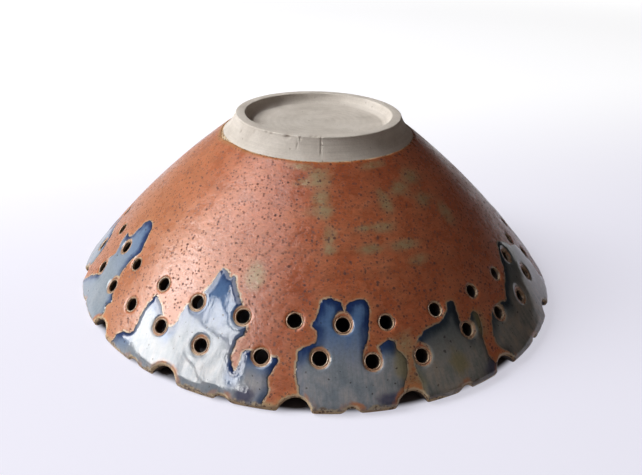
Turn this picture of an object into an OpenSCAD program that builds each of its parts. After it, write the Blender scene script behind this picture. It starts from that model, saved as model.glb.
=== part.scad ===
// Berry colander bowl: a thrown stoneware bowl, turned over so that it rests on its rim.
// The wall is pierced by two staggered rows of drain holes, the rim is cut with notches,
// and the foot ring stands up on top. The glaze coats and runs lie on the clay as thin skins.
// The origin is the centre of the rim's resting plane, with +Z up towards the foot.

/* [Bowl] */
// Diameter across the rounded rim
rim_d = 200; // [170:1:240]
// Height from the rim to the face of the foot
bowl_h = 70; // [60:0.5:85]
// Thickness of the clay wall, and of the rounded rim
wall_t = 4.2; // [3.4:0.1:5.4]
// How far the wall bows out past a straight cone
wall_bow = 2.7; // [1:0.1:5]
// Diameter where the wall meets the foot ring
base_d = 77.5; // [70:0.5:86]
// Thickness of the floor under the well
floor_t = 5; // [4:0.1:7]
// Radius of the curve between the inside wall and the floor
floor_sweep_r = 16; // [10:1:22]
// Depth of the flat on the rounded rim where it rests
rim_rest = 0.3; // [0.1:0.1:0.6]

/* [Foot ring] */
// Height of the foot ring above the wall
foot_h = 7.5; // [6:0.5:10]
// Outer diameter of the foot's flat face
foot_face_d = 66.5; // [60:0.5:70]
// Width of the foot's flat face with its rounded edges
foot_land_w = 3.6; // [2.6:0.1:4.6]
// Radius of the foot face's two edges
foot_edge_r = 0.8; // [0.3:0.1:1.2]
// How far the foot's outside draws in past a straight bevel
foot_waist = 0.5; // [0.2:0.1:1]
// Depth of the well inside the foot ring
well_depth = 4; // [3:0.1:5]
// How far the well's wall slopes in on its way down
well_slope = 2.2; // [1.5:0.1:3]

/* [Drain holes] */
// Diameter of a drain hole
hole_d = 5; // [3.5:0.1:6]
// Drain holes in each of the two rows
holes_per_row = 30; // [24:2:34]
// Slope distance from the rim to the upper row
upper_row_up = 26.7; // [24:0.1:32]
// Slope distance from the rim to the lower row
lower_row_up = 14.3; // [12:0.1:17]
// Turn of the first upper hole about the bowl's axis
first_hole_turn = 193; // [0:1:360]

/* [Rim notches] */
// Notches round the rim, large and small in turn
notch_count = 30; // [24:2:36]
// Radius of a large notch
large_notch_r = 4.8; // [3:0.1:5.5]
// Radius of a small notch
small_notch_r = 2.6; // [1.5:0.1:3.2]
// How far a small notch's centre lies beyond the rim's edge
small_notch_drop = 0.8; // [0:0.1:1.2]

/* [Glaze] */
// Thickness of the rust glaze on the outside
rust_t = 0.5; // [0.3:0.05:0.8]
// Thickness of the liner glaze on the inside
liner_t = 0.5; // [0.3:0.05:0.8]
// Thickness that a blue run adds on the rust glaze
run_t = 0.5; // [0.3:0.05:0.9]
// Height above the resting plane where the glaze stops
glaze_line_z = 1.1; // [0.6:0.1:2]
// Bare clay left round each hole and notch by the rust and liner glaze
bare_lip = 0.4; // [0.2:0.1:0.7]
// Rust glaze left round each hole by a blue run
run_lip = 1.3; // [0.8:0.1:1.6]

/* [Blue runs] */
// Turn about the bowl's axis that a middling blue run spans at the rim
run_turn = 22.9; // [20:0.1:25]
// How far a middling blue run reaches past the upper row of drain holes
run_past_row = 9.3; // [6:0.1:13]

/* [Hidden] */
// Extra length that carries a cut past the face that it goes through
overrun = 1;
// Flat steps along the wall, round the rim, along the floor sweep and along each foot curve
wall_steps = 8;
rim_steps = 8;
sweep_steps = 5;
foot_steps = 4;
// Curve steps between two points of a run's outline
outline_steps = 3;
// Fineness of a whole turn and of a round hole
turn_fn = 180;
hole_fn = 48;

// Heights of the wall's top end, the well's floor and the inside floor
base_z = bowl_h - foot_h;
well_z = bowl_h - well_depth;
floor_z = well_z - floor_t;
// Radii of the foot's face and of the well's floor
foot_face_r = foot_face_d / 2;
foot_land_r = foot_face_r - foot_land_w;
well_r = foot_land_r - well_slope;

// The wall's mid line is one arc, from the centre of the rounded rim up to the foot
rim_mid = [rim_d / 2 - wall_t / 2, wall_t / 2 - rim_rest];
base_edge = [base_d / 2, base_z];
rise = [rim_mid.x - base_edge.x, base_edge.y - rim_mid.y];
base_mid = base_edge - [rise.y, rise.x] / norm(rise) * wall_t / 2;
chord = base_mid - rim_mid;
chord_l = norm(chord);
mid_r = chord_l * chord_l / (8 * wall_bow) + wall_bow / 2;
bow_way = [chord.y, -chord.x] / chord_l;
mid_c = (rim_mid + base_mid) / 2 - bow_way * (mid_r - wall_bow);
outer_r = mid_r + wall_t / 2;
inner_r = mid_r - wall_t / 2;
// Angle of the wall's outward direction where the wall meets the rounded rim
rim_angle = atan2(rim_mid.y - mid_c.y, rim_mid.x - mid_c.x);
// Angle of the rounded rim where it meets the resting plane
rest_angle = -asin(rim_mid.y / (wall_t / 2));
// Centre of the curve between the inside wall and the floor, and the angle where it starts
sweep_c = [arc_x(inner_r - floor_sweep_r, floor_z - floor_sweep_r), floor_z - floor_sweep_r];
sweep_angle = atan2(sweep_c.y - mid_c.y, sweep_c.x - mid_c.x);
// Half the length of a cut square to the wall, past every skin
cut_half = wall_t / 2 + rust_t + run_t + overrun;
// Width round the rim of a middling blue run, and its reach up the wall
run_w = rim_d / 2 * run_turn * PI / 180;
run_reach = upper_row_up + run_past_row;

// How far each hole strayed from its even place, in hole pitches round and hole diameters up
upper_stray_shares = [
    [0.18, 0.1], [0.16, 0.1], [0, 0], [0.12, 0.05], [0.1, -0.1], [0.12, -0.2],
    [0.12, 0], [0.03, -0.2], [-0.13, -0.25], [-0.04, -0.1], [0.04, 0.1], [0.05, 0.1],
    [-0.03, 0.2], [-0.1, 0.2], [-0.15, 0.2], [-0.05, 0.1], [0.1, -0.1], [0.05, -0.15],
    [-0.1, 0.1], [0, 0.15], [0.12, 0], [0.08, -0.2], [-0.06, -0.1], [-0.12, 0.1],
    [0, 0.2], [0.1, 0], [0.05, -0.1], [-0.08, -0.2], [0, 0.05], [0.1, 0.1]
];
lower_stray_shares = [
    [0.3, -0.25], [0.22, -0.05], [0.1, 0.05], [0.04, -0.1], [-0.02, -0.25], [0.1, -0.05],
    [0.1, 0.15], [0, -0.15], [-0.1, -0.3], [0, 0.4], [-0.04, 0.3], [-0.07, -0.05],
    [-0.18, 0.3], [-0.25, 0.4], [-0.1, 0.1], [0.05, -0.2], [0.12, 0.1], [0, 0.2],
    [-0.1, -0.1], [-0.05, 0], [0.1, 0.15], [0.1, -0.2], [-0.05, 0.1], [0, -0.1],
    [0.12, 0.2], [0.05, 0], [-0.1, -0.2], [0, 0.1], [0.15, -0.1], [0.25, -0.3]
];
// How far each notch strayed from its even place, in notch pitches
notch_stray_shares = [
    0.05, 0.1, 0.14, 0.3, 0, 0.08, 0.22, 0.1, 0.06, 0.06, 0.03, 0.08, 0.18, 0.1, 0.05,
    -0.05, 0, 0.12, 0.05, -0.1, 0.04, 0.15, 0, -0.08, 0.1, 0.05, -0.04, 0.12, 0.06, 0
];

// Outlines of the blue runs, as shares of the run's width round the bowl and of its reach up it
tongue_shares = [
    [-0.515, -0.07], [-0.46, 0.09], [-0.285, 0.2], [-0.15, 0.29], [-0.25, 0.4], [-0.17, 0.52],
    [-0.26, 0.63], [-0.26, 0.73], [-0.13, 0.75], [-0.05, 0.97], [0.1, 1], [0.18, 0.94],
    [0.24, 0.83], [0.31, 0.75], [0.25, 0.64], [0.26, 0.45], [0.37, 0.3], [0.45, 0.24],
    [0.41, 0.17], [0.45, 0.11], [0.41, 0.03], [0.41, -0.07]
];
pool_shares = [
    [-0.47, -0.1], [-0.5, 0.03], [-0.46, 0.13], [-0.38, 0.18], [-0.37, 0.38], [-0.31, 0.56],
    [-0.23, 0.46], [-0.155, 0.375], [-0.12, 0.44], [-0.1, 0.58], [-0.02, 0.76], [0.015, 0.96],
    [0.035, 1], [0.09, 0.94], [0.11, 0.96], [0.155, 0.85], [0.205, 0.74], [0.275, 0.54],
    [0.255, 0.44], [0.25, 0.3], [0.29, 0.21], [0.3, 0.28], [0.32, 0.38], [0.47, 0.36],
    [0.475, 0.25], [0.465, 0.195], [0.485, 0.09], [0.475, 0], [0.47, -0.1]
];
twin_shares = [
    [-0.4, -0.12], [-0.44, 0.15], [-0.455, 0.31], [-0.43, 0.46], [-0.38, 0.53], [-0.28, 0.58],
    [-0.26, 0.67], [-0.3, 0.73], [-0.26, 0.81], [-0.22, 0.92], [-0.19, 0.98], [-0.12, 1],
    [-0.05, 0.97], [-0.02, 0.91], [0, 0.86], [0.03, 0.94], [0.13, 0.98], [0.19, 0.96],
    [0.22, 0.87], [0.21, 0.75], [0.19, 0.63], [0.16, 0.52], [0.24, 0.49], [0.34, 0.57],
    [0.41, 0.55], [0.45, 0.47], [0.52, 0.36], [0.51, 0.23], [0.47, 0.1], [0.455, -0.12]
];
shoulder_shares = [
    [-0.59, -0.11], [-0.58, 0.15], [-0.59, 0.33], [-0.56, 0.5], [-0.5, 0.63], [-0.41, 0.7],
    [-0.34, 0.77], [-0.21, 0.79], [-0.06, 0.83], [0.01, 0.92], [0.065, 1], [0.14, 0.98],
    [0.13, 0.85], [0.13, 0.7], [0.19, 0.58], [0.28, 0.7], [0.35, 0.78], [0.41, 0.7],
    [0.4, 0.56], [0.36, 0.43], [0.355, 0.32], [0.35, 0.18], [0.42, -0.11]
];
wave_shares = [
    [-0.415, -0.09], [-0.41, 0.075], [-0.455, 0.19], [-0.435, 0.34], [-0.39, 0.45],
    [-0.34, 0.53], [-0.25, 0.54], [-0.18, 0.52], [-0.13, 0.63], [-0.035, 0.73], [0.045, 0.9],
    [0.125, 1], [0.215, 0.92], [0.29, 0.8], [0.385, 0.71], [0.445, 0.56], [0.5, 0.36],
    [0.5, 0.15], [0.53, -0.09]
];

// Point at an angle round a centre
function polar(c, r, angle) = c + r * [cos(angle), sin(angle)];
// Radius of an arc about the wall's centre at a height
function arc_x(r, z) = mid_c.x + sqrt(r * r - (z - mid_c.y) * (z - mid_c.y));
// Angle where such an arc reaches the foot
function top_angle(r) = asin((base_z - mid_c.y) / r);
// Angle at a slope distance up the outside of the wall from the rounded rim
function slope_angle(up) = rim_angle + up / outer_r * 180 / PI;
function reversed(points) = [for (i = [len(points) - 1 : -1 : 0]) points[i]];
// Entry of a list that starts again at its end
function around(list, i) = list[i % len(list)];
// Angle at one of the even steps between two angles
function step_angle(from, to, k, steps) = from + (to - from) * k / steps;

// Outside of the rounded rim and wall, lifted off the clay by a skin's thickness
function outside(lift) = concat(
    [for (k = [0 : rim_steps - 1])
        polar(rim_mid, wall_t / 2 + lift, step_angle(rest_angle, rim_angle, k, rim_steps))],
    [for (k = [0 : wall_steps - 1])
        polar(mid_c, outer_r + lift, step_angle(rim_angle, top_angle(outer_r), k, wall_steps))],
    [polar(mid_c, outer_r + lift, top_angle(outer_r + lift))]
);
// Inside of the wall, the sweep and the floor, moved in by a skin's thickness
function inside(inset) = concat(
    [for (k = [0 : wall_steps - 1])
        polar(mid_c, inner_r - inset, step_angle(rim_angle, sweep_angle, k, wall_steps))],
    [for (k = [0 : sweep_steps])
        polar(sweep_c, floor_sweep_r - inset, step_angle(sweep_angle, 90, k, sweep_steps))],
    [[0, floor_z - inset]]
);
// Closed smooth curve through an outline's points
function smooth(points) = let (n = len(points)) [
    for (i = [0 : n - 1], k = [0 : outline_steps - 1])
        let (
            t = k / outline_steps,
            before = points[(i + n - 1) % n],
            from = points[i],
            to = points[(i + 1) % n],
            after = points[(i + 2) % n]
        )
        (2 * from + (to - before) * t + (2 * before - 5 * from + 4 * to - after) * t * t
            + (3 * from - before - 3 * to + after) * t * t * t) / 2
];

// Places children on the wall's mid line, with their +Z square to the wall and -X up the slope
module on_wall(turn, up) {
    angle = slope_angle(up);
    spot = polar(mid_c, mid_r, angle);
    rotate([0, 0, turn])
        translate([spot.x, 0, spot.y])
            rotate([0, 90 - angle, 0])
                children();
}

// Keeps what lies above the glaze line
module above_glaze_line() {
    intersection() {
        children();
        translate([0, glaze_line_z])
            square([rim_d, bowl_h]);
    }
}

// One drain hole, widened all round by a lip
module drain_hole(turn, up, lip) {
    on_wall(turn, up)
        cylinder(d = hole_d + 2 * lip, h = 2 * cut_half, center = true, $fn = hole_fn);
}

// Both staggered rows of drain holes
module drain_holes(lip) {
    pitch = 360 / holes_per_row;
    for (i = [0 : holes_per_row - 1]) {
        upper = around(upper_stray_shares, i);
        lower = around(lower_stray_shares, i);
        drain_hole(first_hole_turn + (i + upper.x) * pitch, upper_row_up + upper.y * hole_d, lip);
        drain_hole(first_hole_turn + (i + 1 / 2 + lower.x) * pitch,
            lower_row_up + lower.y * hole_d, lip);
    }
}

// One notch, cut square to the wall with its centre at the rim's edge
module rim_notch(turn, r, drop) {
    on_wall(turn, 0)
        translate([wall_t / 2 + drop, 0, 0])
            cylinder(r = r, h = 2 * cut_half, center = true, $fn = hole_fn);
}

// Large and small notches in turn, widened all round by a lip
module rim_notches(lip) {
    pitch = 360 / notch_count;
    for (i = [0 : notch_count - 1]) {
        turn = first_hole_turn + (i + around(notch_stray_shares, i)) * pitch;
        if (i % 2 == 0)
            rim_notch(turn, large_notch_r + lip, 0);
        else
            rim_notch(turn, small_notch_r + lip, small_notch_drop);
    }
}

// Thrown wall and floor, with a boss that fills the foot ring up to the well's floor
module clay_bowl() {
    rest_edge = polar(rim_mid, wall_t / 2, 180 - rest_angle);
    color("tan")
        difference() {
            rotate_extrude($fn = turn_fn)
                polygon(concat(
                    outside(0),
                    [[well_r, base_z], [well_r, well_z], [0, well_z]],
                    reversed(inside(0)),
                    [rest_edge]
                ));
            drain_holes(0);
            rim_notches(0);
        }
}

// Trimmed foot ring with a drawn-in outside, rounded face edges and a sloping well wall
module foot_ring() {
    base = [arc_x(outer_r, base_z), base_z];
    brow = [foot_face_r, bowl_h - foot_edge_r];
    waist_way = [brow.y - base.y, base.x - brow.x] / norm(brow - base);
    outer_edge = [foot_face_r - foot_edge_r, bowl_h - foot_edge_r];
    inner_edge = [foot_land_r + foot_edge_r, bowl_h - foot_edge_r];
    color("wheat")
        rotate_extrude($fn = turn_fn)
            polygon(concat(
                [for (k = [0 : foot_steps - 1])
                    let (t = k / foot_steps)
                    base + (brow - base) * t - waist_way * 4 * foot_waist * t * (1 - t)],
                [for (k = [0 : foot_steps])
                    polar(outer_edge, foot_edge_r, step_angle(0, 90, k, foot_steps))],
                [for (k = [0 : foot_steps])
                    polar(inner_edge, foot_edge_r, step_angle(90, 180, k, foot_steps))],
                [[well_r, well_z], [well_r, base_z]]
            ));
}

// Rust glaze over the outside of the wall, from the glaze line to the foot
module rust_glaze() {
    color("sienna")
        difference() {
            rotate_extrude($fn = turn_fn)
                above_glaze_line()
                    polygon(concat(outside(0), reversed(outside(rust_t))));
            drain_holes(bare_lip);
            rim_notches(bare_lip);
        }
}

// Dark liner glaze over the inside of the wall and the floor
module liner_glaze() {
    color("darkslategray")
        difference() {
            rotate_extrude($fn = turn_fn)
                above_glaze_line()
                    polygon(concat(inside(0), reversed(inside(liner_t))));
            drain_holes(bare_lip);
            rim_notches(bare_lip);
        }
}

// One blue run on the rust glaze: an outline cut square to the wall out of a thin skin,
// with its shares of the middling width and reach, and side -1 for the mirrored outline
module blue_run(turn, w_share, reach_share, shares, side) {
    width = w_share * run_w;
    reach = reach_share * run_reach;
    middle_up = reach / 2;
    half_turn = 180 * width / (PI * base_d);
    outline = smooth([for (p = shares) [middle_up - p.y * reach, side * p.x * width]]);
    color("steelblue")
        difference() {
            intersection() {
                rotate([0, 0, turn - half_turn])
                    rotate_extrude(angle = 2 * half_turn, $fn = turn_fn)
                        above_glaze_line()
                            polygon(concat(outside(rust_t), reversed(outside(rust_t + run_t))));
                on_wall(turn, middle_up)
                    linear_extrude(height = 2 * cut_half + wall_bow, center = true)
                        polygon(outline);
            }
            drain_holes(run_lip);
            rim_notches(bare_lip);
        }
}

clay_bowl();
foot_ring();
rust_glaze();
liner_glaze();
blue_run(208, 0.85, 1.15, tongue_shares, 1);  // blue_tongue_left
blue_run(244, 1.6, 1.11, pool_shares, 1);  // blue_pool_left
blue_run(278, 0.93, 0.96, twin_shares, 1);  // blue_twin_front
blue_run(303, 0.78, 0.75, shoulder_shares, 1);  // blue_shoulder_right
blue_run(331, 1.6, 0.93, wave_shares, 1);  // blue_wave_right
blue_run(11, 0.8, 0.86, twin_shares, -1);  // blue_twin_side
blue_run(41, 1.5, 1.03, pool_shares, -1);  // blue_pool_back
blue_run(71, 0.8, 0.75, shoulder_shares, 1);  // blue_shoulder_back
blue_run(99, 0.95, 1.05, twin_shares, 1);  // blue_twin_back
blue_run(131, 1.4, 0.83, wave_shares, -1);  // blue_wave_back
blue_run(164, 0.8, 1, tongue_shares, -1);  // blue_tongue_back
blue_run(185, 0.65, 0.68, shoulder_shares, -1);  // blue_shoulder_left
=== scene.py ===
import math

import bpy
import numpy as np
from mathutils import Matrix, Vector, noise
from mathutils.geometry import delaunay_2d_cdt
from mathutils.kdtree import KDTree


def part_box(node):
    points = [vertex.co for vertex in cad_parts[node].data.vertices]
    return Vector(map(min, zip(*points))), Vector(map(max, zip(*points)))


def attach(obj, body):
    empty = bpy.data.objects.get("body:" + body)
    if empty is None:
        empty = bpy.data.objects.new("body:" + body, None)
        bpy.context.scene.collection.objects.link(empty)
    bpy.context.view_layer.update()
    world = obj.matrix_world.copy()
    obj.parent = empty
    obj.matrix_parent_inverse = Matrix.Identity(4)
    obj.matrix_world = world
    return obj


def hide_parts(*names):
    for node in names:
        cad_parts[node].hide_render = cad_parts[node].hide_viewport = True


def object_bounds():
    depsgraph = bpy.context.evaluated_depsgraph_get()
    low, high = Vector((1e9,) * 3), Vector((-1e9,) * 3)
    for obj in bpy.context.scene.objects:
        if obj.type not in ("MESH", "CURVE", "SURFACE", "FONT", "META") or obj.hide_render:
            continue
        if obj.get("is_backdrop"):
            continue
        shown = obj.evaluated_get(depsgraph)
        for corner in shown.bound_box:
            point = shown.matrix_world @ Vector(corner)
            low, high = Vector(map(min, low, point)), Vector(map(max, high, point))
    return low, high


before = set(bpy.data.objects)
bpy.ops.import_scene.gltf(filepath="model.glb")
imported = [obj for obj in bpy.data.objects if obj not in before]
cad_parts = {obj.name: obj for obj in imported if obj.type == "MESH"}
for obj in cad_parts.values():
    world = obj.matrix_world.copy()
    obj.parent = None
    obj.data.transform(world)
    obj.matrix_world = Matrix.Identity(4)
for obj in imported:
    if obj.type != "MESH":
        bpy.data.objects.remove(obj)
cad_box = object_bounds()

# The photograph's view
# The camera stands low in front of the upturned bowl and looks down on it. The picture is a
# crop of a larger one, so the lens axis meets it off its centre.
mm = 0.001
photo_w = 642
photo_h = 475
axis_x = 286
axis_y = 226
focal_px = 641
sensor = 36
camera_place = (0, -255.8 * mm, 142.06 * mm)
yaw = math.radians(-2.773)
pitch = math.radians(25.929)
roll = math.radians(0.926)

ahead = Vector((math.sin(yaw) * math.cos(pitch), math.cos(yaw) * math.cos(pitch), -math.sin(pitch)))
level = Vector((math.cos(yaw), -math.sin(yaw), 0))
above = level.cross(ahead)
right = math.cos(roll) * level + math.sin(roll) * above
up_way = -math.sin(roll) * level + math.cos(roll) * above
photo_view = bpy.data.cameras.new("photo_view")
photo_view.sensor_width = sensor
photo_view.lens = focal_px / photo_w * sensor
photo_view.shift_x = (photo_w / 2 - axis_x) / photo_w
photo_view.shift_y = (axis_y - photo_h / 2) / photo_w
photo_view.clip_start = 10 * mm
camera = bpy.data.objects.new("photo_view", photo_view)
turned = Matrix((right, up_way, -ahead)).transposed().to_4x4()
camera.matrix_world = Matrix.Translation(camera_place) @ turned
bpy.context.scene.collection.objects.link(camera)
bpy.context.scene.camera = camera

# Clay wall
# The wall, floor and notched rim are one piece of thrown stoneware, speckled where it is bare.
# The drain holes were cut through it square to the wall, and their edges sponged round.
# Places on the wall are a turn about the axis, in degrees, and a distance up its outside.
wall_t = 4.2 * mm
wall_bow = 2.7 * mm
floor_t = 5 * mm
floor_sweep_r = 16 * mm
rim_rest = 0.3 * mm
base_r = 38.75 * mm
band_up = 46 * mm
well_r = 27.45 * mm
well_depth = 4 * mm
hole_d = 5 * mm
upper_row_up = 26.7 * mm
lower_row_up = 14.3 * mm
first_turn = 193
row_count = 30
large_notch_r = 4.8 * mm
small_notch_r = 2.6 * mm
small_notch_drop = 0.8 * mm
notch_flare = 1.1 * mm
notch_lean = 0.12
clay_edge_r = 0.45 * mm

rim_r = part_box("clay_bowl")[1].x
base_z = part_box("foot_ring")[0].z
foot_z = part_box("foot_ring")[1].z
well_z = foot_z - well_depth
floor_z = well_z - floor_t
half_t = wall_t / 2
rim_mid = np.array([rim_r - half_t, half_t - rim_rest])
base_edge = np.array([base_r, base_z])
rise = np.array([rim_mid[0] - base_edge[0], base_edge[1] - rim_mid[1]])
base_mid = base_edge - rise[::-1] / np.linalg.norm(rise) * half_t
chord = base_mid - rim_mid
chord_l = np.linalg.norm(chord)
mid_r = chord_l ** 2 / (8 * wall_bow) + wall_bow / 2
mid_c = (rim_mid + base_mid) / 2 - np.array([chord[1], -chord[0]]) / chord_l * (mid_r - wall_bow)
outer_r = mid_r + half_t
inner_r = mid_r - half_t
rim_angle = math.atan2(*(rim_mid - mid_c)[::-1])
rest_angle = -math.asin(rim_mid[1] / half_t)
top_up = (math.asin((base_z - mid_c[1]) / outer_r) - rim_angle) * outer_r
sweep_c = np.array([0, floor_z - floor_sweep_r])
sweep_c[0] = mid_c[0] + math.sqrt((inner_r - floor_sweep_r) ** 2 - (sweep_c[1] - mid_c[1]) ** 2)
sweep_angle = math.atan2(*(sweep_c - mid_c)[::-1])
sweep_up = (sweep_angle - rim_angle) * outer_r

# How far each cut strays from its even place, along the row and up the wall: holes by shares of
# the rows' pitch and the hole's width, notches by shares of the pitch alone
upper_stray_shares = [
    (0.18, 0.1), (0.16, 0.1), (0, 0), (0.12, 0.05), (0.1, -0.1), (0.12, -0.2),
    (0.12, 0), (0.03, -0.2), (-0.13, -0.25), (-0.04, -0.1), (0.04, 0.1), (0.05, 0.1),
    (-0.03, 0.2), (-0.1, 0.2), (-0.15, 0.2), (-0.05, 0.1), (0.1, -0.1), (0.05, -0.15),
    (-0.1, 0.1), (0, 0.15), (0.12, 0), (0.08, -0.2), (-0.06, -0.1), (-0.12, 0.1),
    (0, 0.2), (0.1, 0), (0.05, -0.1), (-0.08, -0.2), (0, 0.05), (0.1, 0.1),
]
lower_stray_shares = [
    (0.3, -0.25), (0.22, -0.05), (0.1, 0.05), (0.04, -0.1), (-0.02, -0.25), (0.1, -0.05),
    (0.1, 0.15), (0, -0.15), (-0.1, -0.3), (0, 0.4), (-0.04, 0.3), (-0.07, -0.05),
    (-0.18, 0.3), (-0.25, 0.4), (-0.1, 0.1), (0.05, -0.2), (0.12, 0.1), (0, 0.2),
    (-0.1, -0.1), (-0.05, 0), (0.1, 0.15), (0.1, -0.2), (-0.05, 0.1), (0, -0.1),
    (0.12, 0.2), (0.05, 0), (-0.1, -0.2), (0, 0.1), (0.15, -0.1), (0.25, -0.3),
]
notch_stray_shares = [
    0.05, 0.1, 0.14, 0.3, 0, 0.08, 0.22, 0.1, 0.06, 0.06, 0.03, 0.08, 0.18, 0.1, 0.05,
    -0.05, 0, 0.12, 0.05, -0.1, 0.04, 0.15, 0, -0.08, 0.1, 0.05, -0.04, 0.12, 0.06, 0,
]
pitch_turn = 360 / row_count
holes = []
notches = []
for i in range(row_count):
    stray = upper_stray_shares[i]
    holes.append((first_turn + (i + stray[0]) * pitch_turn, upper_row_up + stray[1] * hole_d))
    stray = lower_stray_shares[i]
    holes.append((first_turn + (i + 0.5 + stray[0]) * pitch_turn, lower_row_up + stray[1] * hole_d))
    notches.append(first_turn + (i + notch_stray_shares[i]) * pitch_turn)


def wall_point(turn, up, off):
    """Places at a turn and a distance up, off the middle of the wall, outwards where positive"""
    turn, up, off = np.broadcast_arrays(np.radians(turn), up, off)
    angle = rim_angle + np.maximum(up, 0) / outer_r
    away = mid_c[0] + (mid_r + off) * np.cos(angle)
    high = mid_c[1] + (mid_r + off) * np.sin(angle)
    share = np.clip(-up / half_t, 0, 1)
    outside = rim_angle - share * (rim_angle - rest_angle)
    inside = rim_angle + math.pi - share * (rim_angle + rest_angle)
    round_rim = np.where(off > 0, outside, inside)
    away = np.where(up < 0, rim_mid[0] + np.abs(off) * np.cos(round_rim), away)
    high = np.where(up < 0, rim_mid[1] + np.abs(off) * np.sin(round_rim), high)
    return np.stack([away * np.cos(turn), away * np.sin(turn), high], -1)


def wall_r(up):
    """Distance of the wall's outside from the axis"""
    return mid_c[0] + outer_r * np.cos(rim_angle + np.maximum(up, 0) / outer_r)


def turn_from(turn, centre):
    """Turn from a centre's, between -180 and 180"""
    return (turn - centre + 180) % 360 - 180


def across(turn, up, centre):
    """Distance round the wall from a centre's turn, or a metre from 60 degrees on"""
    away = turn_from(np.asarray(turn), centre)
    return np.where(np.abs(away) < 60, wall_r(up) * np.sin(np.radians(away)), 1)


def placed(loop, centre):
    """A loop of (across, up) points about a centre's turn, as (turn, up) points"""
    sweep = np.degrees(np.arcsin(loop[:, 0] / wall_r(loop[:, 1])))
    return np.stack([centre + sweep, loop[:, 1]], -1)


def loop_gap(x, y, loop):
    """Distance of points from a closed loop, negative inside it"""
    gap = np.full(len(x), np.inf)
    within = np.zeros(len(x), bool)
    for (ax, ay), (bx, by) in zip(loop, np.roll(loop, -1, axis=0)):
        along = ((x - ax) * (bx - ax) + (y - ay) * (by - ay)) / ((bx - ax) ** 2 + (by - ay) ** 2)
        along = np.clip(along, 0, 1)
        gap = np.minimum(gap, np.hypot(x - ax - along * (bx - ax), y - ay - along * (by - ay)))
        if ay != by:
            crossing = ((ay > y) != (by > y)) & (x < (bx - ax) * (y - ay) / (by - ay) + ax)
            within ^= crossing
    return np.where(within, -gap, gap)


def grown(loop, distance):
    """A closed anticlockwise loop with its points moved out by a distance"""
    way = np.roll(loop, -1, axis=0) - np.roll(loop, 1, axis=0)
    out = np.stack([way[:, 1], -way[:, 0]], -1) / np.hypot(way[:, 0], way[:, 1])[:, None]
    return loop + out * distance


def notch_loop(i):
    """Outline of a rim notch in (across, up), with flared shoulders where it meets the rim"""
    radius, drop = (large_notch_r, 0) if i % 2 == 0 else (small_notch_r, small_notch_drop)
    lean = notch_lean * math.sin(i * 2.4)
    angle = np.radians(np.linspace(-14, 194, 33))
    x = radius * np.cos(angle)
    y = radius * np.sin(angle) - half_t - drop
    flare = notch_flare * np.exp(-np.maximum(y + half_t, 0) / (0.35 * radius))
    x = x + np.sign(x) * np.minimum(np.abs(x) / radius * 2, 1) * flare + lean * (y + half_t)
    return np.stack([x, y], -1)


def hole_loop(lip):
    """Outline of a drain hole in (across, up) about its centre, grown by a lip"""
    angle = np.radians(np.arange(0, 360, 9))
    return (hole_d / 2 + lip) * np.stack([np.cos(angle), np.sin(angle)], -1)


# Gaps wider than this aren't told apart, and notches are measured only this near
wide_gap = 40 * mm
notch_near = 14 * mm
notch_high = 12 * mm


def hole_gap(turn, up):
    """Distance of points from the nearest drain hole's edge, negative inside it"""
    gap = np.full(len(turn), wide_gap)
    for spot_turn, spot_up in holes:
        x = across(turn, up, spot_turn)
        gap = np.minimum(gap, np.hypot(x, up - spot_up) - hole_d / 2)
    return gap


def notch_gap(turn, up):
    """Distance of points from the nearest notch's edge, negative inside it"""
    gap = np.full(len(turn), wide_gap)
    for i, spot_turn in enumerate(notches):
        x = across(turn, up, spot_turn)
        near = (np.abs(x) < notch_near) & (up < notch_high)
        gap[near] = np.minimum(gap[near], loop_gap(x[near], up[near], notch_loop(i)))
    return gap


def cut_gap(turn, up):
    """Distance of points from the nearest drain hole or notch edge, negative inside it"""
    return np.minimum(hole_gap(turn, up), notch_gap(turn, up))


def clay_room(turn, up):
    """Distance in from the clay's edge at its resting line, the holes and the notches"""
    return np.minimum(cut_gap(turn, up), up + half_t)


# Sheets are meshed flat, at a length per degree. A whole one is cut open at a seam that no
# hole, notch or run crosses, and rings of points follow every edge at the steps' distances.
# Even points fill the rest in rows, with a spacing of which these are shares.
flat_per_turn = 1.5 * mm
seam_turn = 152.9 - 360
seam_slack = 1e-4
seam_points = 36
ring_steps = np.array([0.12, 0.3, 0.6, 1, 1.5]) * mm
spot_edge_room = 0.05 * mm
spot_room = 0.1 * mm
row_share = 0.87
even_edge_share = 0.3
even_room_share = 0.62
stations = 360
low_stations = 720
band_slack = 1e-6
clay_spacing = 2.2 * mm


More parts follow.
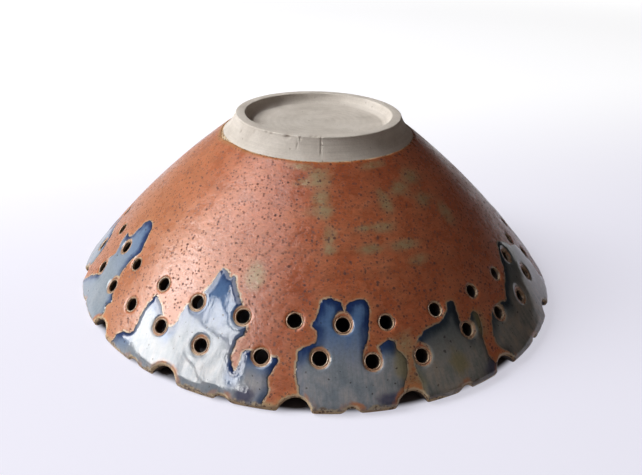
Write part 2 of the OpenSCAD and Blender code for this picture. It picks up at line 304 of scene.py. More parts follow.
def flat_sheet(fences, spots, keep, spacing, limits=None):
    """Triangles in (turn, up): an edge along every fence, a point at every spot, the rest even"""
    points = []
    edges = []
    for fence, closed in fences:
        start = len(points)
        points += [tuple(p) for p in fence]
        edges += [(k, k + 1) for k in range(start, len(points) - 1)]
        if closed:
            edges.append((len(points) - 1, start))
    fixed = np.array(points)
    left, right_turn, low, high = limits or (seam_turn, seam_turn + 360, -half_t, band_up)

    def apart(more, room):
        """The new points that keep a room from the fixed ones"""
        tree = KDTree(len(fixed))
        for k, (t, u) in enumerate(fixed):
            tree.insert((t * flat_per_turn, u, 0), k)
        tree.balance()
        return more[np.array([tree.find((t * flat_per_turn, u, 0))[2] for t, u in more]) > room]

    spots = spots[(spots[:, 0] > left) & (spots[:, 0] < right_turn) & (spots[:, 1] < high)]
    spots = spots[keep(spots[:, 0], spots[:, 1]) > spot_edge_room]
    fixed = np.vstack([fixed, apart(spots, spot_room)])
    step = spacing / flat_per_turn
    even = []
    for k, up in enumerate(np.arange(low, high, spacing * row_share)[1:]):
        turns = np.arange(left + (0.5 + 0.5 * (k % 2)) * step, right_turn - 0.4 * step, step)
        even.append(np.stack([turns, np.full(len(turns), up)], -1))
    even = np.vstack(even)
    even = even[keep(even[:, 0], even[:, 1]) > even_edge_share * spacing]
    everything = np.vstack([fixed, apart(even, even_room_share * spacing)])
    flat = [Vector((t * flat_per_turn, u)) / mm for t, u in everything]
    out = delaunay_2d_cdt(flat, edges, [], 0, 1e-5, False)
    made = np.array([tuple(v) for v in out[0]]) * mm
    turn, up = made[:, 0] / flat_per_turn, made[:, 1]
    faces = np.array([f for f in out[2] if len(f) == 3])
    faces = faces[keep(turn[faces].mean(1), up[faces].mean(1)) > 0]
    if limits is None:
        far = np.where(np.abs(turn - seam_turn - 360) < seam_slack)[0]
        near = np.where(np.abs(turn - seam_turn) < seam_slack)[0]
        swap = np.arange(len(turn))
        for k in far:
            swap[k] = near[np.abs(up[near] - up[k]).argmin()]
        faces = swap[faces]
    used, faces = np.unique(faces, return_inverse=True)
    return turn[used], up[used], faces.reshape(-1, 3)


def even_line(up, count):
    """An open line at one height from seam to seam"""
    turns = seam_turn + np.arange(count + 1) * 360 / count
    return np.stack([turns, np.full(count + 1, up)], -1)


def unrolled(turn):
    """The same turn within a whole sheet"""
    return seam_turn + (turn - seam_turn) % 360


def whole_sheet(lip, steps, low):
    """Fences at every hole and notch grown by a lip, the seam, a low line and the band's top"""
    fences = []
    spots = []
    cuts = [(spot_turn, hole_loop(lip) + [0, spot_up]) for spot_turn, spot_up in holes]
    cuts += [(spot_turn, grown(notch_loop(i), lip)) for i, spot_turn in enumerate(notches)]
    for spot_turn, loop in cuts:
        centre = unrolled(spot_turn)
        fences.append((placed(loop, centre), True))
        spots += [placed(grown(loop, s), centre) for s in steps]
    ups = np.linspace(-half_t, band_up, seam_points)
    for end_turn in (seam_turn, seam_turn + 360):
        fences.append((np.stack([np.full(seam_points, end_turn), ups], -1), False))
    fences += [(low, False), (even_line(band_up, stations), False)]
    return fences, spots


def top_ring(turn, up):
    """The ring of points at the top of the perforated band, in order"""
    top = np.where(np.abs(up - band_up) < band_slack)[0]
    return top[np.argsort(turn[top])]


def joined(faces, before, here):
    """The faces with those added that join two closed rings of points"""
    after, there = np.roll(before, -1), np.roll(here, -1)
    return np.vstack([faces, np.stack([before, after, there], -1), np.stack([before, there, here], -1)])


def carried_on(points, faces, ring, turns, profile):
    """A skin carried on from a ring by revolving (radius, height) points, and closed at the axis"""
    turns = np.radians(turns)
    for away, high in profile:
        here = np.arange(len(points), len(points) + len(ring))
        row = np.stack([away * np.cos(turns), away * np.sin(turns), np.full(len(turns), high)], -1)
        points = np.vstack([points, row])
        faces = joined(faces, ring, here)
        ring = here
    points = np.vstack([points, [[0, 0, high]]])
    fan = np.stack([ring, np.roll(ring, -1), np.full(len(ring), len(points) - 1)], -1)
    return points, np.vstack([faces, fan])


def finished(name, mesh, sharp):
    """The mesh as a smooth-shaded object of the scene, with its sharp edges kept"""
    mesh.validate()
    mesh.shade_smooth()
    mesh.set_sharp_from_angle(angle=math.radians(sharp))
    piece = bpy.data.objects.new(name, mesh)
    bpy.context.scene.collection.objects.link(piece)
    return piece


def shell(name, outs, out_faces, ins, in_faces, facts, sharp):
    """A closed mesh of two skins whose open edges match, a wall between them, and its facts"""
    edge = np.vstack([out_faces[:, [0, 1]], out_faces[:, [1, 2]], out_faces[:, [2, 0]]]).tolist()
    known = {(a, b) for a, b in edge}
    border = np.array([(a, b) for a, b in edge if (b, a) not in known])
    a, b = border[:, 0], border[:, 1]
    walls = np.stack([b, a, a + len(outs), b + len(outs)], -1)
    mesh = bpy.data.meshes.new(name)
    mesh.from_pydata(np.vstack([outs, ins]).tolist(), [],
                     out_faces.tolist() + (in_faces[:, ::-1] + len(outs)).tolist() + walls.tolist())
    for key, value in facts.items():
        layer = mesh.attributes.new(key, "FLOAT", "POINT")
        layer.data.foreach_set("value", value.astype(np.float32))
    return finished(name, mesh, sharp)


def two_skins(name, band, out_off, out_profile, in_off, in_profile, facts):
    """A closed piece of a perforated band whose two skins are carried on up to the axis"""
    turn, up, faces = band
    ring = top_ring(turn, up)
    outs, out_faces = carried_on(wall_point(turn, up, out_off), faces, ring, turn[ring], out_profile)
    ins, in_faces = carried_on(wall_point(turn, up, in_off), faces, ring, turn[ring], in_profile)
    facts = {key: np.repeat(pair, [len(outs), len(ins)]) for key, pair in facts.items()}
    return shell(name, outs, out_faces, ins, in_faces, facts, 40)


def arc_points(centre, radius, angles):
    """Points of an arc in (radius, height)"""
    return [(centre[0] + radius * math.cos(a), centre[1] + radius * math.sin(a)) for a in angles]


def inner_profile(inset):
    """Inside of the wall above the band, the sweep and the floor, moved in"""
    angles = rim_angle + np.linspace(band_up, sweep_up, 18)[1:] / outer_r
    wall = arc_points(mid_c, inner_r - inset, angles)
    sweep = arc_points(sweep_c, floor_sweep_r - inset, np.linspace(sweep_angle, math.pi / 2, 10)[1:])
    return wall + sweep + [(share * sweep_c[0], floor_z - inset) for share in (0.7, 0.4, 0.15)]


def ease(value):
    """Rises from 0 to 1 as a quarter of a circle does"""
    return np.sqrt(1 - (1 - np.clip(value, 0, 1)) ** 2)


def clay_off(gap):
    """Distance of the clay's skin from the wall's middle, less at a rounded cut edge"""
    return half_t - clay_edge_r * (1 - ease(gap / clay_edge_r))


class Flow:
    """What a node gives, a number or a colour, which + - * / can put together"""

    def __init__(self, socket):
        self.socket = socket
        self.tree = socket.id_data

    def __getitem__(self, output):
        """Another output of the same node"""
        return Flow(self.socket.node.outputs[output])

    def __add__(self, other):
        return maths("ADD", self, other)

    def __radd__(self, other):
        return maths("ADD", other, self)

    def __sub__(self, other):
        return maths("SUBTRACT", self, other)

    def __rsub__(self, other):
        return maths("SUBTRACT", other, self)

    def __mul__(self, other):
        return maths("MULTIPLY", self, other)

    def __truediv__(self, other):
        return maths("DIVIDE", self, other)


def feed(node, values):
    """Sets or links inputs of a node"""
    for key, value in values.items():
        if isinstance(value, Flow):
            value.tree.links.new(value.socket, node.inputs[key])
        else:
            node.inputs[key].default_value = value


def add(tree, kind, values=None, **settings):
    """A new node of a tree, as its first output, with its settings and its inputs fed"""
    node = tree.nodes.new(kind)
    for key, value in settings.items():
        setattr(node, key, value)
    feed(node, values or {})
    return Flow(node.outputs[0])


def maths(way, first, second=0):
    """One or two numbers put together in a way"""
    tree = first.tree if isinstance(first, Flow) else second.tree
    return add(tree, "ShaderNodeMath", {0: first, 1: second}, operation=way)


def blend(factor, first, second, way="MIX"):
    """Two colours mixed by a factor"""
    tree = next(part.tree for part in (factor, first, second) if isinstance(part, Flow))
    first, second = ((*part, 1) if isinstance(part, tuple) else part for part in (first, second))
    return add(tree, "ShaderNodeMix", {0: factor, 6: first, 7: second}, data_type="RGBA", blend_type=way)[2]


def ramp(value, stops):
    """A colour or a grey level that follows a value through its stops"""
    made = add(value.tree, "ShaderNodeValToRGB", {0: value})
    band = made.socket.node.color_ramp.elements
    while len(band) < len(stops):
        band.new(0.5)
    for element, (place, colour) in zip(band, stops):
        element.position = place
        element.color = (*colour, 1) if isinstance(colour, tuple) else (colour, colour, colour, 1)
    return made


def fade(value, start, end):
    """0 at the start and 1 at the end, smooth between them"""
    return add(value.tree, "ShaderNodeMapRange", {"Value": value, "From Min": start, "From Max": end},
               interpolation_type="SMOOTHSTEP")


def soft_noise(spot, scale, detail, rough=0.5):
    """Soft noise of a scale, with finer detail over it"""
    return add(spot.tree, "ShaderNodeTexNoise",
               {"Vector": spot, "Scale": scale, "Detail": detail, "Roughness": rough})


def cloud(where, scale, detail=3, rough=0.55, seed=0):
    """Soft noise of a scale per metre, moved aside by a seed"""
    aside = (seed, seed * 0.7, seed * 0.3)
    spot = add(where.tree, "ShaderNodeMapping", {"Vector": where, "Location": aside})
    return soft_noise(spot, scale, detail, rough)


def specks(where, scale, size, seed):
    """1 in ragged specks, one in some cells of a scale per metre"""
    tree = where.tree
    spot = add(tree, "ShaderNodeMapping", {"Vector": where, "Location": (seed, seed, seed)})
    ragged = soft_noise(spot, 3 * scale, 1)["Color"]
    spot = add(tree, "ShaderNodeVectorMath", {0: ragged, 1: (0.3 / scale,) * 3, 2: spot},
               operation="MULTIPLY_ADD")
    cells = add(tree, "ShaderNodeTexVoronoi", {"Vector": spot, "Scale": scale})
    odd = add(tree, "ShaderNodeSeparateColor", {0: cells["Color"]})
    return fade(odd * size - cells["Distance"], -0.02, 0.05)


def new_finish(name):
    """A material and its object coordinates"""
    made = bpy.data.materials.new(name)
    made.use_nodes = True
    return made, add(made.node_tree, "ShaderNodeTexCoord")["Object"]


def fact(where, name):
    """A number that the mesh holds at its points, in the same tree as the coordinates"""
    return add(where.tree, "ShaderNodeAttribute", attribute_name=name)["Fac"]


def surfaced(made, values, height, distance):
    """The material with its surface shader fed, and a bump of a real height in metres"""
    tree = made.node_tree
    values["Normal"] = add(tree, "ShaderNodeBump", {"Height": height, "Distance": distance})
    feed(tree.nodes["Principled BSDF"], values)
    return made


def clay_finish():
    """Buff clay, speckled at the rim and nearly black from just inside the holes and notches to its inner
    skin
    """
    made, where = new_finish("bare_rim_clay")
    buff = ramp(cloud(where, 160, 4),
                [(0.3, (0.3, 0.18, 0.1)), (0.5, (0.5, 0.36, 0.22)), (0.7, (0.64, 0.51, 0.34))])
    buff = blend(specks(where, 900, 0.62, 3) * 0.85, buff, (0.08, 0.045, 0.028))
    # Nearly black from just within each hole and notch wall to the inner skin
    inner = ramp(cloud(where, 300, 3), [(0.3, (0.016, 0.012, 0.01)), (0.7, (0.06, 0.035, 0.025))])
    colour = blend(fade(fact(where, "depth"), 0.02, 0.2), buff, inner)
    return surfaced(made, {"Base Color": colour, "Roughness": 0.6, "Specular IOR Level": 0.3},
                    cloud(where, 900, 3), 0.08 * mm)


fences, spots = whole_sheet(0, ring_steps[:3], even_line(-half_t, low_stations))
spots += [even_line(up, low_stations)[1:-1] for up in -half_t * np.array([0.85, 0.7, 0.5, 0.3, 0.1])]
turn, up, faces = flat_sheet(fences, np.vstack(spots), clay_room, clay_spacing)
off = clay_off(cut_gap(turn, up))
outer_profile = arc_points(mid_c, outer_r, rim_angle + np.linspace(band_up, top_up, 20)[1:] / outer_r)
outer_profile += [(well_r, base_z), (well_r, well_z), (well_r * 0.8, well_z), (well_r * 0.4, well_z)]
clay_wall = two_skins("clay_wall", (turn, up, faces), off, outer_profile, -off, inner_profile(0),
                      {"depth": (0, 1)})
clay_wall.data.materials.append(clay_finish())
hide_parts("clay_bowl")
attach(clay_wall, "root")

# Hole lips
# Each drain hole's outer edge was sponged to a soft round lip before the bowl was fired.
# The glaze drew back from it, so it shows as a pale bead that catches the light.
lip_r = hole_d / 2 + 0.07 * mm
lip_t = 0.2 * mm
lip_off = half_t - 0.02 * mm


def new_nodes(name, inputs):
    """A Geometry Nodes tree and its named inputs"""
    tree = bpy.data.node_groups.new(name, "GeometryNodeTree")
    for label, kind in inputs.items():
        tree.interface.new_socket(label, in_out="INPUT", socket_type="NodeSocket" + kind)
    tree.interface.new_socket("Shape", in_out="OUTPUT", socket_type="NodeSocketGeometry")
    return tree, add(tree, "NodeGroupInput")


def ended(tree, shape, finish):
    """The tree, ended with the real shape in its finish"""
    real = add(tree, "GeometryNodeRealizeInstances", {"Geometry": shape})
    dressed = add(tree, "GeometryNodeSetMaterial", {"Geometry": real, "Material": finish})
    feed(tree.nodes.new("NodeGroupOutput"), {0: dressed})
    return tree


def lip_tree():
    """Nodes that lay a round lip at every point, square to the wall there"""
    tree, given = new_nodes("sponged_hole_lips", {
        "Holes": "Geometry", "Lip radius": "Float", "Lip thickness": "Float", "Finish": "Material"})
    ring = add(tree, "GeometryNodeCurvePrimitiveCircle", {"Resolution": 40, "Radius": given["Lip radius"]})
    section = add(tree, "GeometryNodeCurvePrimitiveCircle",
                  {"Resolution": 8, "Radius": given["Lip thickness"]})
    tube = add(tree, "GeometryNodeCurveToMesh", {"Curve": ring, "Profile Curve": section})
    outward = add(tree, "GeometryNodeInputNamedAttribute", {"Name": "outward"}, data_type="FLOAT_VECTOR")
    square = add(tree, "FunctionNodeAlignRotationToVector", {"Vector": outward}, axis="Z")
    lips = add(tree, "GeometryNodeInstanceOnPoints",
               {"Points": given["Holes"], "Instance": tube, "Rotation": square})
    return ended(tree, lips, given["Finish"])


def by_nodes(name, base, tree, inputs, sharp):
    """The mesh that a node tree makes from a base mesh, as a plain object of the scene"""
    maker = bpy.data.objects.new(name + "_maker", base)
    bpy.context.scene.collection.objects.link(maker)
    modifier = maker.modifiers.new("nodes", "NODES")
    modifier.node_group = tree
    for item in tree.interface.items_tree:
        if item.name in inputs:
            modifier[item.identifier] = inputs[item.name]
    bpy.context.view_layer.update()
    seen = maker.evaluated_get(bpy.context.evaluated_depsgraph_get())
    mesh = bpy.data.meshes.new_from_object(seen)
    maker.modifiers.clear()
    bpy.data.objects.remove(maker)
    mesh.name = name
    return finished(name, mesh, sharp)


def lip_finish():
    """Pale buff clay under a breath of glaze, with brown specks"""
    made, where = new_finish("sponged_lip_clay")
    colour = ramp(cloud(where, 380, 3),
                  [(0.3, (0.28, 0.14, 0.08)), (0.5, (0.46, 0.3, 0.19)), (0.7, (0.62, 0.5, 0.37))])
    colour = blend(specks(where, 1300, 0.5, 4) * 0.7, colour, (0.12, 0.05, 0.03))
    return surfaced(made, {"Base Color": colour, "Roughness": 0.3}, cloud(where, 1400, 2), 0.04 * mm)


hole_turns, hole_ups = np.array(holes).T
hole_points = bpy.data.meshes.new("hole_places")
hole_points.from_pydata(wall_point(hole_turns, hole_ups, lip_off).tolist(), [], [])
outward = wall_point(hole_turns, hole_ups, 1) - wall_point(hole_turns, hole_ups, 0)
layer = hole_points.attributes.new("outward", "FLOAT_VECTOR", "POINT")
layer.data.foreach_set("vector", outward.astype(np.float32).ravel())
hole_lips = by_nodes("hole_lips", hole_points, lip_tree(),
                     {"Lip radius": lip_r, "Lip thickness": lip_t, "Finish": lip_finish()}, 60)
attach(hole_lips, "root")

# Rust glaze coat
# A satin iron glaze over the whole outside, breaking paler at every edge, with dark specks.
# It was poured on the raw clay and stops at the foot in a hand-wiped, slightly wavy line.
rust_t = 0.4 * mm
coat_edge_t = 0.03 * mm
coat_round = 1.1 * mm
bare_lip = 0.4 * mm
run_lip = 0.8 * mm
run_w = rim_r * math.radians(22.9)
run_reach = upper_row_up + 9.3 * mm
run_fray = 0.5 * mm
glaze_low = -1.25 * mm
rust_spacing = 1.5 * mm


def wavy(turn, seed, rate):
    """Even waves between -1 and 1 that close round the bowl"""
    turn = np.radians(turn)
    return np.array([noise.noise(Vector((math.cos(t), math.sin(t), seed * 3.1)) * rate * 57) for t in turn])


def low_line(turn):
    """Where the glaze stops above the rim"""
    return glaze_low + 0.45 * mm * (1 + wavy(turn, 1, 0.4))


def foot_line(turn):
    """Where the glaze stops below the foot: lower where it was wiped off at the left, then higher"""
    wiped = np.exp(-turn_from(turn, 197) ** 2 / 120)
    crept = np.exp(-turn_from(turn, 215) ** 2 / 30)
    return (top_up - 0.25 * mm - 0.2 * mm * wavy(turn, 5, 0.12) - 0.15 * mm * wavy(turn, 8, 0.6)
            - 0.95 * mm * wiped + 0.2 * mm * crept)


def coat_cover(gap, thickness):
    """Thickness of a coat at a distance in from its edge"""
    return coat_edge_t + (thickness - coat_edge_t) * ease(gap / coat_round)


def wall_noise(turn, up, scale):
    """Soft noise at places on the wall, of a scale per metre"""
    return np.array([noise.noise(Vector(p) * scale) for p in wall_point(turn, up, 0)])


# Each blue run's name, turn, shares of the width and reach, outline, and side (-1 is mirrored)
run_steps = [
    ("blue_tongue_left", 208, 0.85, 1.15, "tongue", 1),
    ("blue_pool_left", 244, 1.6, 1.11, "pool", 1),
    ("blue_twin_front", 278, 0.93, 0.96, "twin", 1),
    ("blue_shoulder_right", 303, 0.78, 0.75, "shoulder", 1),
    ("blue_wave_right", 331, 1.6, 0.93, "wave", 1),
    ("blue_twin_side", 11, 0.8, 0.86, "twin", -1),
    ("blue_pool_back", 41, 1.5, 1.03, "pool", -1),
    ("blue_shoulder_back", 71, 0.8, 0.75, "shoulder", 1),
    ("blue_twin_back", 99, 0.95, 1.05, "twin", 1),
    ("blue_wave_back", 131, 1.4, 0.83, "wave", -1),
    ("blue_tongue_back", 164, 0.8, 1, "tongue", -1),
    ("blue_shoulder_left", 185, 0.65, 0.68, "shoulder", -1),
]
outline_shares = {
    "tongue": [
        (-0.515, -0.07), (-0.46, 0.09), (-0.285, 0.2), (-0.15, 0.29), (-0.25, 0.4), (-0.17, 0.52),
        (-0.26, 0.63), (-0.26, 0.73), (-0.13, 0.75), (-0.05, 0.97), (0.1, 1), (0.18, 0.94),
        (0.24, 0.83), (0.31, 0.75), (0.25, 0.64), (0.26, 0.45), (0.37, 0.3), (0.45, 0.24),
        (0.41, 0.17), (0.45, 0.11), (0.41, 0.03), (0.41, -0.07)],
    "pool": [
        (-0.47, -0.1), (-0.5, 0.03), (-0.46, 0.13), (-0.38, 0.18), (-0.37, 0.38), (-0.31, 0.56),
        (-0.23, 0.46), (-0.155, 0.375), (-0.12, 0.44), (-0.1, 0.58), (-0.02, 0.76), (0.015, 0.96),
        (0.035, 1), (0.09, 0.94), (0.11, 0.96), (0.155, 0.85), (0.205, 0.74), (0.275, 0.54),
        (0.255, 0.44), (0.25, 0.3), (0.29, 0.21), (0.3, 0.28), (0.32, 0.38), (0.47, 0.36),
        (0.475, 0.25), (0.465, 0.195), (0.485, 0.09), (0.475, 0), (0.47, -0.1)],
    "twin": [
        (-0.4, -0.12), (-0.44, 0.15), (-0.455, 0.31), (-0.43, 0.46), (-0.38, 0.53), (-0.28, 0.58),
        (-0.26, 0.67), (-0.3, 0.73), (-0.26, 0.81), (-0.22, 0.92), (-0.19, 0.98), (-0.12, 1),
        (-0.05, 0.97), (-0.02, 0.91), (0, 0.86), (0.03, 0.94), (0.13, 0.98), (0.19, 0.96),
        (0.22, 0.87), (0.21, 0.75), (0.19, 0.63), (0.16, 0.52), (0.24, 0.49), (0.34, 0.57),
        (0.41, 0.55), (0.45, 0.47), (0.52, 0.36), (0.51, 0.23), (0.47, 0.1), (0.455, -0.12)],
    "shoulder": [
        (-0.59, -0.11), (-0.58, 0.15), (-0.59, 0.33), (-0.56, 0.5), (-0.5, 0.63), (-0.41, 0.7),
        (-0.34, 0.77), (-0.21, 0.79), (-0.06, 0.83), (0.01, 0.92), (0.065, 1), (0.14, 0.98),
        (0.13, 0.85), (0.13, 0.7), (0.19, 0.58), (0.28, 0.7), (0.35, 0.78), (0.41, 0.7),
        (0.4, 0.56), (0.36, 0.43), (0.355, 0.32), (0.35, 0.18), (0.42, -0.11)],
    "wave": [
        (-0.415, -0.09), (-0.41, 0.075), (-0.455, 0.19), (-0.435, 0.34), (-0.39, 0.45),
        (-0.34, 0.53), (-0.25, 0.54), (-0.18, 0.52), (-0.13, 0.63), (-0.035, 0.73), (0.045, 0.9),
        (0.125, 1), (0.215, 0.92), (0.29, 0.8), (0.385, 0.71), (0.445, 0.56), (0.5, 0.36),
        (0.5, 0.15), (0.53, -0.09)],
}


def smooth_loop(points, steps):
    """A closed smooth curve through points, anticlockwise"""
    before, after, next_after = np.roll(points, 1, 0), np.roll(points, -1, 0), np.roll(points, -2, 0)
    t = (np.arange(steps) / steps)[None, :, None]
    p0, p1, p2, p3 = (p[:, None, :] for p in (before, points, after, next_after))
    curve = (2 * p1 + (p2 - p0) * t + (2 * p0 - 5 * p1 + 4 * p2 - p3) * t ** 2
             + (3 * p1 - p0 - 3 * p2 + p3) * t ** 3) / 2
    loop = curve.reshape(-1, 2)
    x, y = loop[:, 0], loop[:, 1]
    area = np.sum(x * np.roll(y, -1) - np.roll(x, -1) * y)
    return loop if area > 0 else loop[::-1]


runs = []
for name, centre, w_share, reach_share, kind, side in run_steps:
    size = np.array([side * w_share * run_w, reach_share * run_reach])
    loop = smooth_loop(np.array(outline_shares[kind]) * size, 8)
    spots = [Vector((x, y, centre * mm)) for x, y in loop]
    frayed = np.array([noise.noise(spot * 420) + 0.6 * noise.noise(spot * 1100) for spot in spots])
    runs.append((name, centre, loop + (grown(loop, 1) - loop) * frayed[:, None] * run_fray))


# The blue drew back from each hole, further above it, by a share of the hole's radius
halo_rise_shares = [0.1 + 0.12 * (1 + math.sin(2.3 * i)) for i in range(2 * row_count)]
halo_rise_shares[15] = 0.75
halo_rise_shares[9] = 0.1


def halo_gap(turn, up):
    """Distance of points from the nearest halo's edge, negative inside it"""
    gap = np.full(len(turn), wide_gap)
    for i, (spot_turn, spot_up) in enumerate(holes):
        high = up - spot_up
        high = np.where(high > 0, high / (1 + halo_rise_shares[i]), high)
        gap = np.minimum(gap, np.hypot(across(turn, up, spot_turn), high) - hole_d / 2 - run_lip)
    return gap


# Gaps from the runs are measured only this near, and wider ones aren't told apart
run_near = 50 * mm
run_wide_gap = 20 * mm


def run_gap(turn, up):
    """Distance of points from the nearest blue run's edge, negative inside a run"""
    gap = np.full(len(turn), run_wide_gap)
    for name, centre, loop in runs:
        x = across(turn, up, centre)
        near = (np.abs(x) < run_near) & (up < run_near)
        gap[near] = np.minimum(gap[near], loop_gap(x[near], up[near], loop))
    return np.maximum(gap, -halo_gap(turn, up))


def rust_room(turn, up):
    """Distance in from the rust coat's edge at the rim, the holes and the notches"""
    return np.minimum(cut_gap(turn, up) - bare_lip, up - low_line(turn))


def stretched(where, scale):
    """Coordinates scaled along each axis"""
    return add(where.tree, "ShaderNodeMapping", {"Vector": where, "Scale": scale})


def rust_finish():
    """Rust red with brown specks, orange and buff at its edges and olive where it pooled, with painted shade
    on its lit left side and painted light on its shaded right side
    """
    made, where = new_finish("speckled_rust_glaze")
    side = add(where.tree, "ShaderNodeSeparateXYZ", {0: where})["X"]
    mottle = cloud(where, 130, 5, 0.65, 4)
    colour = ramp(cloud(where, 20, 2) * 0.45 + mottle * 0.55,
                  [(0.26, (0.37, 0.082, 0.034)), (0.44, (0.48, 0.128, 0.054)),
                   (0.58, (0.54, 0.165, 0.072)), (0.76, (0.64, 0.25, 0.125))])
    bands = soft_noise(stretched(where, (12, 12, 330)), 1, 2)
    colour = blend(0.45, colour, ramp(bands, [(0.35, 0.72), (0.65, 1.0)]), "MULTIPLY")
    grain = cloud(stretched(where, (0.55, 0.55, 1.5)), 1000, 3, 0.8)
    colour = blend(0.7, colour, ramp(grain, [(0.34, 0.48), (0.62, 1.0)]), "MULTIPLY")
    sunny = fade(side, 0.0, -0.08)
    # Painted shade: the window-lit left side is toned to a duller, darker rust
    colour = blend(sunny * 0.6, colour, (0.41, 0.17, 0.066))
    broken = cloud(where, 260, 4, 0.7, 6) - 0.5
    olive = fade(fact(where, "olive") + ((mottle - 0.5) * 0.8 + broken * 0.9), 0.15, 1.05)
    sprinkled = 0.35 + fade(grain, 0.36, 0.58) * 0.5
    colour = blend(olive * sprinkled, colour, (0.32, 0.28, 0.155))
    # Painted light: the shaded right side is lifted toward a brighter red
    colour = blend(fade(side, 0.02, 0.09) * 0.4, colour, (0.62, 0.175, 0.085))
    soft = cloud(where, 420, 2, 0.5, 2) - 0.5
    wobble = soft * 1.1
    hole = fact(where, "hole") + wobble
    notch = fact(where, "notch") + soft * 2.4
    run = fact(where, "run") + wobble
    colour = blend(fade(run, 3.0, 0.3) * 0.3, colour, (0.5, 0.2, 0.08))
    colour = blend(fade(hole, 1.6, 0.4) * 0.35, colour, (0.48, 0.14, 0.055))
    colour = blend(fade(notch, 2.6, 0.9) * 0.75, colour, (0.56, 0.2, 0.07))
    # Painted light and shade: the pale fringe at the run edges is buff on the lit left and a duller
    # grey-brown on the shaded right
    lit_and_shaded_fringe = blend(fade(side, 0.0, 0.05), (0.5, 0.4, 0.27), (0.27, 0.25, 0.18))
    ragged = fade(cloud(where, 240, 3, 0.6, 9), 0.38, 0.58)
    colour = blend(fade(run, 0.75, 0.2) * (0.25 + ragged * 0.6), colour, lit_and_shaded_fringe)
    colour = blend(fade(hole, 0.35, 0.05) * 0.4, colour, (0.5, 0.3, 0.17))
    colour = blend(fade(notch, 1.0, 0.3) * 0.8, colour, (0.62, 0.48, 0.3))
    rim = fade(fact(where, "up") + wobble * 1.4, 0.9, -0.5)
    colour = blend(rim * 0.8, colour, (0.5, 0.36, 0.2))
    foot = fact(where, "foot") + soft * 0.8
    colour = blend(fade(foot, 1.5, 0.5) * 0.6, colour, (0.42, 0.13, 0.035))
    colour = blend(sunny * fade(foot, 2.4, 0.4) * 0.8, colour, (0.36, 0.27, 0.12))
    dark = maths("MAXIMUM", specks(where, 900, 0.45, 1) * 0.65, specks(where, 540, 0.3, 7) * 0.9)
    colour = blend(dark, colour, (0.07, 0.017, 0.01))
    gloss = ramp(mottle, [(0.32, 0.2), (0.68, 0.38)]) + dark * 0.6
    return surfaced(made, {"Base Color": colour, "Roughness": gloss},
                    bands * 0.7 + grain * 0.25 + mottle * 2, 0.17 * mm)


def in_mm(rows):
    """Rows of a turn in degrees and sizes in millimetres, with the sizes made real"""
    return [(turn, *(size * mm for size in sizes)) for turn, *sizes in rows]


# Olive patches where the glaze pooled: turn in degrees; up, half width and half height in mm
olive_patches = in_mm([
    (263.5, 82.5, 4.4, 1.7), (271.5, 78.2, 3.8, 5), (266, 76, 4, 1.8), (272.5, 70, 3, 4),
    (273, 65, 3.6, 2.8), (275, 56, 2, 3), (275, 51, 2, 1.6), (292.5, 57.8, 5.4, 1.8),
    (287, 58.2, 4, 1.2), (300, 82, 5, 1.6), (297.8, 67, 2.4, 5), (307, 71, 4.4, 3),
    (316.8, 73.4, 4, 3.6), (316, 64, 4, 3), (321.5, 56, 3, 5), (299, 50.2, 4.6, 1.8),
    (287.5, 50.6, 4.6, 1.6), (301, 43.8, 4, 2), (289.5, 12, 3.4, 7), (291, 5, 4, 5),
    (255, 40, 3, 5), (311.3, 16, 2.6, 5), (290.3, 16, 3.5, 6), (301.5, 7.5, 3.5, 4),
    (150, 66, 7, 4), (95, 70, 4, 6), (40, 62, 6, 3), (15, 76, 3, 4), (118, 56, 5, 3),
    (62, 74, 4, 3),
])


def patches(turn, up, spots):
    """How strongly soft-edged patches show at points, from 0 to 1"""
    strength = np.zeros(len(turn))
    for spot_turn, spot_up, half_w, half_h in spots:
        aside = (across(turn, up, spot_turn) / half_w) ** 2
        above = ((up - spot_up) / half_h) ** 2
        strength = np.maximum(strength, np.exp(-aside / 1.6 - above / 1.6))
    return strength


low = even_line(0, low_stations)
low[:, 1] = low_line(low[:, 0])
low[-1, 1] = low[0, 1]
fences, spots = whole_sheet(bare_lip, ring_steps, low)
spots += [low[1:-1] + [0, s] for s in ring_steps]
for name, centre, loop in runs:
    spots += [placed(grown(loop, s), unrolled(centre)) for s in np.array([-0.1, 0.35, 0.8, 1.4]) * mm]
turn, up, faces = flat_sheet(fences, np.vstack(spots), rust_room, rust_spacing)
ring = top_ring(turn, up)
ring_turns = turn[ring]
foot_up = foot_line(ring_turns)
rows = [band_up + (foot_up - 2 * mm - band_up) * k / 24 for k in range(1, 25)]
rows += [foot_up - s for s in np.array([1.5, 1, 0.6, 0.3, 0.12, 0]) * mm]
for row in rows:
    here = np.arange(len(turn), len(turn) + len(ring))
    turn = np.append(turn, ring_turns)
    up = np.append(up, row)
    faces = joined(faces, ring, here)
    ring = here
under = clay_off(cut_gap(turn, up))
cover = coat_cover(np.minimum(rust_room(turn, up), foot_line(turn) - up), rust_t)
cover = cover * (1 - 0.12 * (1 + wall_noise(turn, up, 90)))
facts = {"hole": (hole_gap(turn, up) - bare_lip) / mm, "notch": (notch_gap(turn, up) - bare_lip) / mm,
         "run": run_gap(turn, up) / mm, "up": up / mm, "foot": (foot_line(turn) - up) / mm,
         "olive": patches(turn, up, olive_patches)}


def coat(name, turn, up, faces, under, cover, facts):
    """A closed coat on the wall, with the facts that its finish reads on both skins"""
    facts = {key: np.tile(value, 2) for key, value in facts.items()}
    return shell(name, wall_point(turn, up, under + cover), faces,
                 wall_point(turn, up, under), faces, facts, 50)


rust_coat = coat("rust_coat", turn, up, faces, under, cover, facts)
rust_coat.data.materials.append(rust_finish())
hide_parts("rust_glaze")
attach(rust_coat, "root")

# Liner glaze
# A dark glossy coat inside the bowl, poured in and out again, thin at every hole and notch.
# It shows through the holes and notches, and from below.
liner_t = 0.5 * mm
liner_low = -0.2 * mm
liner_spacing = 2.2 * mm


def liner_room(turn, up):
    """Distance in from the liner's edge at the rim, the holes and the notches"""
    return np.minimum(cut_gap(turn, up) - bare_lip, up - liner_low)


